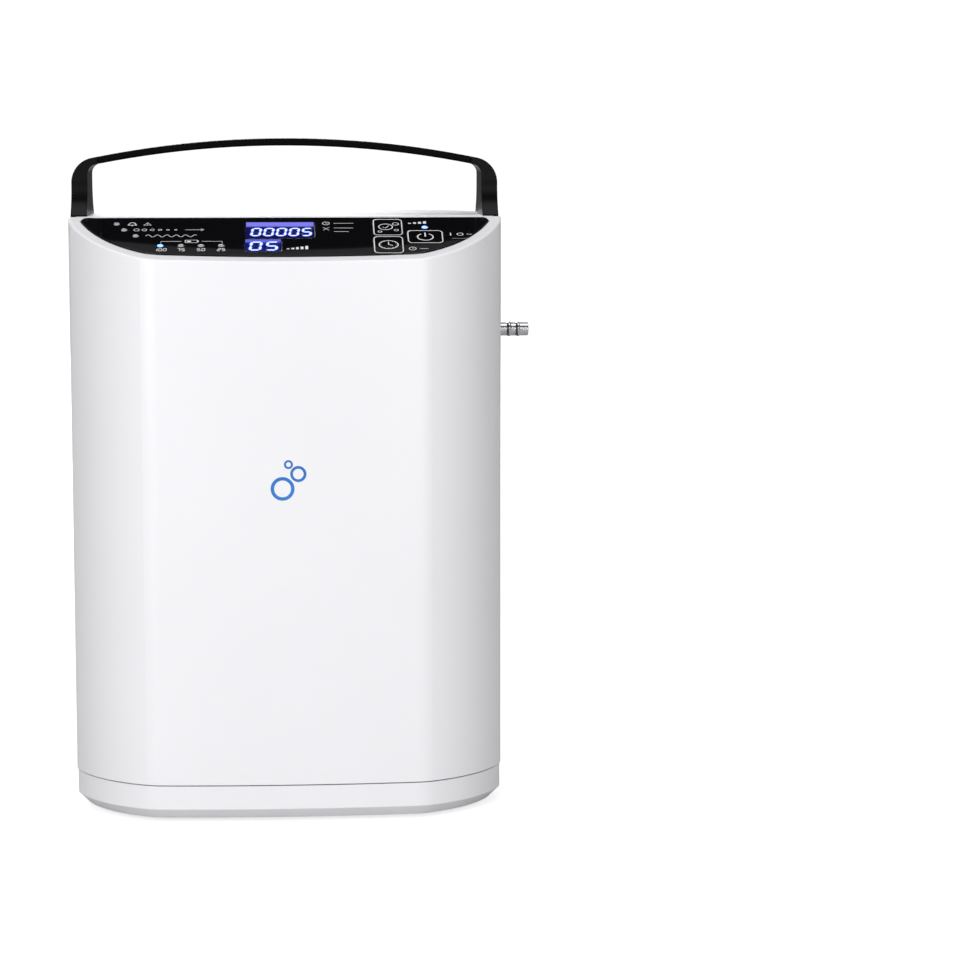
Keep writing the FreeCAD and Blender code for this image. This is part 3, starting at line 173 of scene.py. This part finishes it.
NODE_FINISH = {
    "white_shell": ["housing", "base_tray"],
    "black_texture": ["right_side_panel", "left_side_panel"],
    "black_grip": ["handle_grip"],
    "rubber": ["rubber_feet", "outlet_seal", "compressor_isolators"],
    "gasket": ["base_gasket"],
    "overlay": ["control_panel", "grade_key", "timer_key", "power_key"],
    "lens": ["display_lenses"],
    "nickel": ["oxygen_outlet", "outlet_nut", "dc_jack_ring", "dc_jack_sleeve", "dc_jack_pin"],
    "jack_face": ["dc_jack_body"],
    "dark_plastic": ["fan_frame", "fan_rotor", "solenoid_coils", "intake_filter", "dome_switches",
                     "display_modules", "buzzer", "board_parts", "exhaust_muffler", "oxygen_sensor"],
    "steel": ["base_screws", "deck_screws", "crankshaft", "valve_plunger_left", "valve_plunger_right",
              "compressor_motor"],
    "aluminium": ["lower_deck", "upper_deck", "deck_spacers", "sieve_tubes", "sieve_caps", "product_tank",
                  "valve_manifold", "pistons"],
    "cast": ["crankcase", "cylinders", "cylinder_heads"],
    "foam": ["exhaust_foam", "intake_foam"],
    "beads": ["sieve_media"],
    "sleeve": ["battery_cells"],
    "battery_case": ["battery_case", "battery_lid"],
    "board": ["control_board", "display_board"],
    "silicone": ["feed_hoses", "outlet_hose"],
    "lamp_off": ["indicator_leds"],
}
for finish, names in NODE_FINISH.items():
    for name in names:
        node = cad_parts[name]
        node.data.materials.clear()
        node.data.materials.append(FINISHES[finish])

# ---------------------------------------------------------------- the sloped face's own frame
SLOPE = math.radians(22.6)
RIDGE = Vector((0, -24.5, 263)) * MM
OUT = Matrix.Rotation(SLOPE, 4, "X")
FACE = Matrix.Translation(RIDGE) @ OUT
PRINT_HEIGHT = 0.53      # just proud of the overlay's surface, in millimetres up from the sloped face
KEY_HEIGHT = 0.63        # just proud of a key's cap


def ribbon(points, width, closed=False):
    """A line of even width through 2-D points, as flat four-sided polygons."""
    count = len(points)
    sides = []
    for k, point in enumerate(points):
        before = points[k - 1] if k or closed else point
        after = points[(k + 1) % count] if k < count - 1 or closed else point
        along = Vector((after[0] - before[0], after[1] - before[1])).normalized()
        normal = Vector((-along.y, along.x)) * width / 2
        sides.append((Vector(point) + normal, Vector(point) - normal))
    ends = sides[1:] + sides[:1] if closed else sides[1:]
    return [[start[0], start[1], end[1], end[0]] for start, end in zip(sides, ends)]


def arc(centre, radius, start=0, end=360, steps=28):
    """Points along an arc, angles in degrees."""
    turns = [math.radians(start + (end - start) * k / steps) for k in range(steps + 1)]
    return [(centre[0] + radius * math.cos(a), centre[1] + radius * math.sin(a)) for a in turns]


def circle(centre, radius, width):
    """A ring drawn as a line."""
    return ribbon(arc(centre, radius)[:-1], width, closed=True)


def disc(centre, radius):
    """A filled dot."""
    return [[Vector(p) for p in arc(centre, radius)[:-1]]]


def bar(x, y, wide, tall):
    """A filled rectangle from its lower left corner."""
    return [[Vector((x, y)), Vector((x + wide, y)), Vector((x + wide, y + tall)), Vector((x, y + tall))]]


def rounded_frame(x, y, wide, tall, radius, width):
    """A rounded rectangle drawn as a line."""
    points = []
    for cx, cy, start in ((x + wide - radius, y + radius, -90), (x + wide - radius, y + tall - radius, 0),
                          (x + radius, y + tall - radius, 90), (x + radius, y + radius, 180)):
        points += arc((cx, cy), radius, start, start + 90, 6)
    return ribbon(points, width, closed=True)


def graphic(name, polygons, height, material, body=ENCLOSURE):
    """Flat print on the sloped face: 2-D polygons in millimetres, across and up the slope."""
    vertices, faces = [], []
    for polygon in polygons:
        faces.append(list(range(len(vertices), len(vertices) + len(polygon))))
        vertices += [Vector((p.x, p.y, height)) * MM for p in polygon]
    mesh = bpy.data.meshes.new(name)
    mesh.from_pydata(vertices, [], faces)
    mesh.materials.append(material)
    piece = bpy.data.objects.new(name, mesh)
    bpy.context.scene.collection.objects.link(piece)
    piece.matrix_world = FACE
    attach(piece, body)
    return piece


SEGMENTS = {0: "abcdef", 1: "bc", 2: "abged", 5: "afgcd", 7: "abc"}   # the figures that are printed or shown


def digit(value, x, y, wide, tall, thick, lit=True):
    """A seven-segment figure with a slight lean, from its lower left corner: its lit or unlit segments."""
    half = tall / 2
    ends = {"a": ((0, tall), (wide, tall)), "b": ((wide, tall), (wide, half)), "c": ((wide, half), (wide, 0)),
            "d": ((0, 0), (wide, 0)), "e": ((0, half), (0, 0)), "f": ((0, tall), (0, half)),
            "g": ((0, half), (wide, half))}
    shapes = []
    for letter, (a, b) in ends.items():
        if (letter in SEGMENTS[value]) != lit:
            continue
        start, end = Vector(a), Vector(b)
        along = (end - start).normalized()
        side = Vector((-along.y, along.x)) * thick / 2
        start, end = start + along * thick * 0.15, end - along * thick * 0.15
        tip = along * thick / 2
        outline = [start, start + tip + side, end - tip + side, end, end - tip - side, start + tip - side]
        shapes.append([Vector((x + p.x + 0.1 * p.y, y + p.y)) for p in outline])
    return shapes


def printed_number(text, centre, tall, width):
    """A small printed number, drawn as lines."""
    step = tall * 0.78
    start = centre[0] - step * (len(text) - 1) / 2
    shapes = []
    for k, figure in enumerate(text):
        x = start + k * step - tall * 0.27
        shapes += digit(int(figure), x, centre[1] - tall / 2, tall * 0.5, tall, width)
    return shapes


# ---------------------------------------------------------------- print on the control panel
INK = moulded("white_ink", (0.78, 0.78, 0.78), 0.5, grain=1500, depth=0.03, tone=0.03)
SOFT_INK = moulded("grey_ink", (0.42, 0.42, 0.43), 0.5, grain=1500, depth=0.03, tone=0.03)
# line widths of the print, in millimetres
BOLD = 0.44
FRAME = 0.42
SIGN = 0.36
PLAIN = 0.3
THIN = 0.28
HAIR = 0.26

# plain signs in place of words
marks = []
# alarm: a bell and a warning triangle
marks += ribbon(arc((-66.6, -9.2), 1.3, 0, 180, 12), BOLD)
marks += ribbon([(-68.4, -10.4), (-67.9, -9.2)], BOLD) + ribbon([(-64.8, -10.4), (-65.3, -9.2)], BOLD)
marks += ribbon([(-68.6, -10.5), (-64.6, -10.5)], BOLD) + disc((-66.6, -11.1), 0.35)
marks += ribbon([(-61.6, -10.6), (-60, -7.9), (-58.4, -10.6)], BOLD, closed=True)
marks += bar(-60.15, -10.1, 0.3, 1.2)
# low concentration: bubbles falling away
for k in range(6):
    marks += circle((-64.6 + k * 3.4, -15.4), 1.15 - 0.14 * k, THIN)
marks += ribbon([(-43.6, -15.4), (-35.4, -15.4)], THIN)
marks += ribbon([(-36.8, -14.4), (-35.4, -15.4), (-36.8, -16.4)], THIN)
# breath: a wave
marks += ribbon([(-60.4 + 0.4 * k, -21.6 + 1.1 * math.sin(k * 0.62)) for k in range(56)], PLAIN)
# battery: its outline between two brackets, and the scale under the lamps
marks += rounded_frame(-43.2, -28.6, 5.2, 2.6, 0.3, PLAIN)
marks += bar(-37.9, -27.9, 0.5, 1.2) + bar(-42.5, -28.0, 1.7, 1.4)
for side in (-1, 1):
    near, far = -40.5 + side * 4.4, -40.5 + side * 13.2
    marks += ribbon([(near, -27.3), (far, -27.3), (far, -29.2)], THIN)
for text, x in (("100", -53.8), ("75", -45), ("50", -36.4), ("25", -27.7)):
    marks += printed_number(text, (x, -35.7), 2.5, FRAME)
# timer, running time and level beside the displays
marks += circle((17.6, -9.0), 1.5, PLAIN) + ribbon([(17.6, -8.0), (17.6, -9.0), (18.3, -9.0)], HAIR)
marks += ribbon([(21, -9.0), (29.6, -9.0)], PLAIN)
marks += ribbon([(16.3, -13.2), (18.9, -13.2), (16.3, -16.2), (18.9, -16.2)], THIN, closed=True)
marks += ribbon([(21, -13.9), (29.4, -13.9)], PLAIN) + ribbon([(21, -17.6), (27.4, -17.6)], PLAIN)
for k in range(5):
    marks += bar(0.4 + 2.0 * k, -35.6, 1.2, 0.9 + 0.6 * k)
# key captions
for k in range(4):
    marks += bar(53.6 + 2.2 * k, -9.6, 1.3, 0.8 + 0.55 * k)
marks += circle((54.6, -35.2), 1.5, PLAIN) + ribbon([(54.6, -34.2), (54.6, -35.2), (55.3, -35.2)], HAIR)
marks += ribbon([(57.6, -35.2), (61.4, -35.2)], PLAIN)
marks += bar(71.4, -21.9, 0.5, 2.6) + circle((75.8, -20.6), 1.3, SIGN)
marks += ribbon([(78.6, -20.6), (81, -20.6)], PLAIN)
graphic("panel_marks", marks, PRINT_HEIGHT, INK)
graphic("panel_submarks", ribbon([(72, -24.9), (79.2, -24.9)], HAIR), PRINT_HEIGHT, SOFT_INK)

# ---------------------------------------------------------------- lamps
LAMPS = [(-73.4, -9.2), (-69.9, -15.4), (-64.7, -21.6), (-53.8, -31.6),
         (-45, -31.6), (-36.4, -31.6), (-27.7, -31.6), (60.7, -13.3)]
LIT = ((-53.8, -31.6), (60.7, -13.3))
DOME = glowing("lamp_blue", (0.10, 0.22, 1.0), 5.0, falloff=0.15)


def lamp_dome(name, centre, material):
    """The rounded tip of a lamp, standing 0.3 mm over its pipe."""
    rows, around, radius, foot, rise = 5, 24, 1.3, 0.5, 0.3
    vertices, faces = [], []
    for row in range(rows):
        tilt = math.pi / 2 * row / rows
        for k in range(around):
            turn = 2 * math.pi * k / around
            reach = radius * math.cos(tilt)
            vertices.append(Vector((centre[0] + reach * math.cos(turn), centre[1] + reach * math.sin(turn),
                                    foot + rise * math.sin(tilt))) * MM)
    vertices.append(Vector((centre[0], centre[1], foot + rise)) * MM)
    for row in range(rows - 1):
        low, high = row * around, (row + 1) * around
        for k in range(around):
            after = (k + 1) % around
            faces.append([low + k, low + after, high + after, high + k])
    top = (rows - 1) * around
    faces += [[top + k, top + (k + 1) % around, len(vertices) - 1] for k in range(around)]
    mesh = bpy.data.meshes.new(name)
    mesh.from_pydata(vertices, [], faces)
    mesh.polygons.foreach_set("use_smooth", [True] * len(faces))
    mesh.materials.append(material)
    piece = bpy.data.objects.new(name, mesh)
    bpy.context.scene.collection.objects.link(piece)
    piece.matrix_world = FACE
    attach(piece, ENCLOSURE)


for k, spot in enumerate(LAMPS):
    lamp_dome(f"lamp_tip_{k}", spot, DOME if spot in LIT else FINISHES["lamp_off"])

# ---------------------------------------------------------------- keys
# a rounded white frame and a sign on each cap
grade = rounded_frame(38.4, -21.45, 12.3, 16.2, 2.0, FRAME)
grade += circle((43.6, -13.0), 3.0, FRAME) + circle((48.0, -10.0), 1.3, SIGN)
grade += circle((48.2, -16.4), 0.9, 0.32) + circle((41.0, -17.9), 0.8, 0.32)
grade += ribbon([(42.4, -13.2), (43.4, -14.4), (45.0, -11.8)], SIGN)
graphic("grade_key_print", grade, KEY_HEIGHT, INK, "grade_key_body")
timer = rounded_frame(38.2, -39.65, 12.3, 16.55, 2.0, FRAME)
timer += circle((44.35, -31.3), 4.1, 0.46) + ribbon([(44.35, -28.6), (44.35, -31.3), (46.2, -32.2)], FRAME)
dial = Vector((44.35, -31.3))
for k in range(12):
    turn = math.radians(30 * k)
    ray = Vector((math.cos(turn), math.sin(turn)))
    timer += ribbon([dial + ray * 3.3, dial + ray * 3.7], THIN)
graphic("timer_key_print", timer, KEY_HEIGHT, INK, "timer_key_body")
power = rounded_frame(53.1, -29.5, 14.9, 12.5, 2.0, FRAME)
power += ribbon(arc((60.55, -23.5), 3.4, 118, 422, 36), 0.55) + ribbon([(60.55, -19.2), (60.55, -23.2)], 0.55)
graphic("power_key_print", power, KEY_HEIGHT, INK, "power_key_body")


# ---------------------------------------------------------------- displays
def backlight(name, low, high, dark, bright, strength):
    """Light behind a window, rising from dark to bright between two heights up the slope, in millimetres."""
    material, tree, shader = new_material(name)
    split = add(tree, "ShaderNodeSeparateXYZ")
    tree.links.new(object_coordinates(tree), split.inputs["Vector"])
    rise = add(tree, "ShaderNodeMapRange")
    rise.inputs["From Min"].default_value = low * MM
    rise.inputs["From Max"].default_value = high * MM
    tree.links.new(split.outputs["Y"], rise.inputs["Value"])
    cloud = add(tree, "ShaderNodeTexNoise", Scale=160.0, Detail=1.0)
    tree.links.new(object_coordinates(tree), cloud.inputs["Vector"])
    drift = add(tree, "ShaderNodeMath", operation="MULTIPLY_ADD")
    drift.inputs[1].default_value = 0.12
    drift.inputs[2].default_value = -0.06
    tree.links.new(cloud.outputs["Fac"], drift.inputs[0])
    total = add(tree, "ShaderNodeMath", operation="ADD")
    tree.links.new(rise.outputs["Result"], total.inputs[0])
    tree.links.new(drift.outputs["Value"], total.inputs[1])
    tree.links.new(blended(tree, total.outputs["Value"], dark, bright), shader.inputs["Emission Color"])
    shader.inputs["Emission Strength"].default_value = strength
    shader.inputs["Base Color"].default_value = (0.004, 0.004, 0.008, 1)
    shader.inputs["Roughness"].default_value = 0.06
    return material


LIT_BLUE = glowing("segment_lit", (0.42, 0.52, 1.0), 2.2, falloff=0.12)
UNLIT = moulded("segment_unlit", (0.010, 0.012, 0.09), 0.3, grain=900, depth=0.01, tone=0.1)
UPPER = backlight("upper_backlight", -14.5, -10.0, (0.004, 0.004, 0.085), (0.24, 0.24, 1.0), 0.9)
LOWER = backlight("lower_backlight", -31.0, -26.0, (0.006, 0.008, 0.16), (0.16, 0.18, 1.0), 0.8)
HALO = glowing("segment_halo", (0.03, 0.05, 0.9), 1.1, falloff=0.2)
lit, unlit, halo = [], [], []
ROWS = (   # figures, left edge, pitch, lowest edge, width, height, lit width, unlit width
    ((0, 0, 0, 0, 5), -14.9, 5.5, -21.6, 3.5, 7.4, 0.95, 0.7),
    ((0, 5), -15.4, 7.0, -36.2, 4.2, 8.0, 1.05, 0.75),
)
for values, left, pitch, low, wide, tall, bold, faint in ROWS:
    for k, value in enumerate(values):
        x = left + pitch * k
        lit += digit(value, x, low, wide, tall, bold)
        halo += digit(value, x, low, wide, tall, 2 * bold)
        unlit += digit(value, x, low, wide, tall, faint, lit=False)
graphic("upper_backlight", bar(-17.2, -23.9, 29.4, 16.1), PRINT_HEIGHT - 0.02, UPPER)
graphic("lower_backlight", bar(-17.4, -37.5, 15.3, 12.1), PRINT_HEIGHT - 0.02, LOWER)
graphic("display_unlit", unlit, PRINT_HEIGHT - 0.013, UNLIT)
graphic("display_halo", halo, PRINT_HEIGHT - 0.007, HALO)
graphic("display_lit", lit, PRINT_HEIGHT, LIT_BLUE)

# ---------------------------------------------------------------- mark on the front
# three rising bubbles
MARK_BLUE = moulded("mark_blue", (0.02, 0.16, 0.52), 0.35, grain=1500, depth=0.02, tone=0.25)
bubbles = circle((-2.2, -4.6), 4.4, 1.5) + circle((4.6, 1.8), 2.9, 1.2) + circle((0.4, 5.9), 1.5, 0.9)
front_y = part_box("housing")[0].y
mark = graphic("front_mark", bubbles, 0, MARK_BLUE)
MARK_HEIGHT = 0.152
upright = Matrix.Rotation(math.radians(90), 4, "X")
mark.matrix_world = Matrix.Translation((0, front_y - 0.03 * MM, MARK_HEIGHT)) @ upright

# ---------------------------------------------------------------- floor
REACH = 9
corners = [(-REACH, -REACH, 0), (REACH, -REACH, 0), (REACH, REACH, 0), (-REACH, REACH, 0)]
floor_mesh = bpy.data.meshes.new("floor")
floor_mesh.from_pydata(corners, [], [[0, 1, 2, 3]])
floor_paint = moulded("floor_paint", (0.55, 0.55, 0.55), 0.9, grain=300, depth=0.01, tone=0.004)
paint_tree = floor_paint.node_tree
paint_shader = next(n for n in paint_tree.nodes if n.type == "BSDF_PRINCIPLED")
# the paint glows a little to the camera, more so with distance, so that it meets the backdrop without an edge
paint_shader.inputs["Emission Color"].default_value = (1, 1, 1, 1)
seen = add(paint_tree, "ShaderNodeLightPath")
away = add(paint_tree, "ShaderNodeVectorMath", operation="LENGTH")
paint_tree.links.new(object_coordinates(paint_tree), away.inputs[0])
fade = add(paint_tree, "ShaderNodeMapRange")
for socket, value in (("From Min", 0.25), ("From Max", 1.1), ("To Min", 0.72), ("To Max", 1.02)):
    fade.inputs[socket].default_value = value
paint_tree.links.new(away.outputs["Value"], fade.inputs["Value"])
shown = add(paint_tree, "ShaderNodeMath", operation="MULTIPLY")
paint_tree.links.new(seen.outputs["Is Camera Ray"], shown.inputs[0])
paint_tree.links.new(fade.outputs["Result"], shown.inputs[1])
paint_tree.links.new(shown.outputs["Value"], paint_shader.inputs["Emission Strength"])
floor_mesh.materials.append(floor_paint)
floor = bpy.data.objects.new("floor", floor_mesh)
bpy.context.scene.collection.objects.link(floor)


# ---------------------------------------------------------------- light
BODY_MIDDLE = (0, 0, 0.14)
FRONT_MIDDLE = (0, 0, 0.13)


def area_light(name, place, target, size, power):
    """A rectangular soft light facing a point, its size in metres and its power in watts."""
    data = bpy.data.lights.new(name, "AREA")
    data.shape = "RECTANGLE"
    data.size, data.size_y = size
    data.energy = power
    lamp = bpy.data.objects.new(name, data)
    bpy.context.scene.collection.objects.link(lamp)
    lamp.location = place
    lamp.rotation_euler = (Vector(target) - Vector(place)).to_track_quat("-Z", "Y").to_euler()


area_light("left_light", (-1.0, -1.9, 0.75), FRONT_MIDDLE, (0.9, 1.3), 26.5)
area_light("right_light", (0.85, -2.0, 0.75), FRONT_MIDDLE, (0.9, 1.3), 19)
area_light("top_light", (0, -0.1, 2.0), BODY_MIDDLE, (1.6, 1.2), 13)
area_light("back_light", (-0.5, 2.2, 1.2), BODY_MIDDLE, (1.4, 1.0), 24)
area_light("rear_left_light", (-1.65, 1.45, 0.7), BODY_MIDDLE, (0.9, 1.0), 4)
area_light("rear_right_light", (1.65, 1.45, 0.7), BODY_MIDDLE, (0.9, 1.0), 3)

# the surroundings: a white backdrop to the camera, a soft fill on surfaces, and a dimmer one in reflections
world = bpy.data.worlds.new("studio")
bpy.context.scene.world = world
world.use_nodes = True
sky = world.node_tree
backdrop = next(n for n in sky.nodes if n.type == "BACKGROUND")
backdrop.inputs["Color"].default_value = (1, 1, 1, 1)
backdrop.inputs["Strength"].default_value = 0.16
dim = add(sky, "ShaderNodeBackground", Strength=0.12)
dim.inputs["Color"].default_value = (1, 1, 1, 1)
bright = add(sky, "ShaderNodeBackground", Strength=1.05)
bright.inputs["Color"].default_value = (1, 1, 1, 1)
chooser = add(sky, "ShaderNodeMixShader")
path = add(sky, "ShaderNodeLightPath")
output = next(n for n in sky.nodes if n.type == "OUTPUT_WORLD")
gloss = add(sky, "ShaderNodeMixShader")
sky.links.new(path.outputs["Is Glossy Ray"], gloss.inputs["Fac"])
sky.links.new(backdrop.outputs["Background"], gloss.inputs[1])
sky.links.new(dim.outputs["Background"], gloss.inputs[2])
sky.links.new(path.outputs["Is Camera Ray"], chooser.inputs["Fac"])
sky.links.new(gloss.outputs["Shader"], chooser.inputs[1])
sky.links.new(bright.outputs["Background"], chooser.inputs[2])
sky.links.new(chooser.outputs["Shader"], output.inputs["Surface"])

# ---------------------------------------------------------------- camera
LOOK_DOWN = 7.0
LOOK_RIGHT = 3.78
camera_data = bpy.data.cameras.new("camera")
camera_data.lens = 110.0
camera_data.sensor_width = 36
camera_data.clip_end = 30
camera = bpy.data.objects.new("camera", camera_data)
bpy.context.scene.collection.objects.link(camera)
camera.location = (0, -1.323, 0.305)
camera.rotation_euler = (math.radians(90 - LOOK_DOWN), 0, math.radians(-LOOK_RIGHT))
bpy.context.scene.camera = camera
bpy.context.scene.view_settings.view_transform = "Standard"
